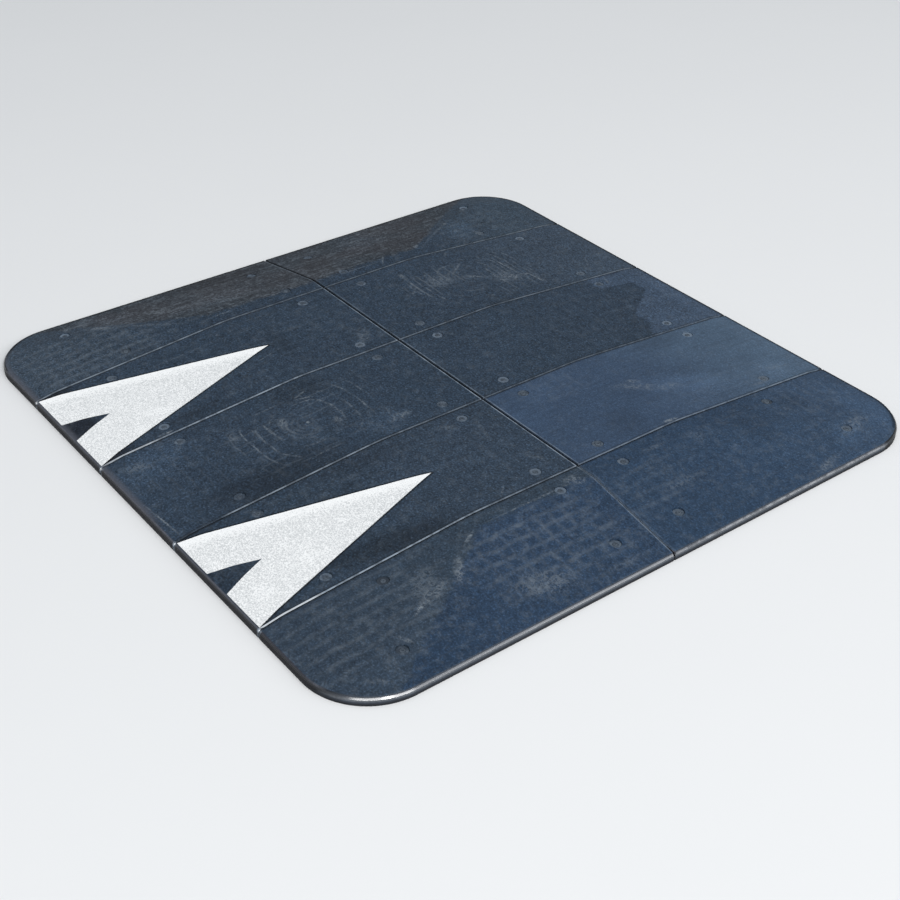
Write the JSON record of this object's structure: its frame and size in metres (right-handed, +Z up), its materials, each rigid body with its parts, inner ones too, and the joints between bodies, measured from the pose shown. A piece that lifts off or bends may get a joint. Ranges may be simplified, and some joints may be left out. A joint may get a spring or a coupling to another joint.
{
  "type": "speed cushion",
  "caption": "Low square rubber speed cushion of bolted-down tiles, with ramped sides, rounded corners and white arrow inlays that point along the road.",
  "frame": {"origin": "middle of the underside, on the road surface", "axes": "+X across the road, +Y along the travel direction that the arrows point, +Z up"},
  "size_m": [1.829, 1.829, 0.0763],
  "materials": {
    "rubber": "weathered moulded crumb rubber",
    "arrow_white": "grainy white marking",
    "washer_steel": "dull zinc",
    "plate_steel": "dull zinc"
  },
  "bodies": {
    "root": {"left_edge_front_tile": "rubber", "left_edge_rear_tile": "rubber", "left_front_tile": "rubber", "left_rear_tile": "rubber", "centre_front_tile": "rubber", "centre_rear_tile": "rubber", "right_front_tile": "rubber", "right_rear_tile": "rubber", "right_edge_front_tile": "rubber", "right_edge_rear_tile": "rubber", "left_edge_front_washers": "washer_steel", "left_edge_rear_washers": "washer_steel", "left_front_washers": "washer_steel", "left_rear_washers": "washer_steel", "centre_front_washers": "washer_steel", "centre_rear_washers": "washer_steel", "right_front_washers": "washer_steel", "right_rear_washers": "washer_steel", "right_edge_front_washers": "washer_steel", "right_edge_rear_washers": "washer_steel", "left_arrow": "arrow_white", "right_arrow": "arrow_white", "joining_plates": "plate_steel"}
  },
  "joints": []
}
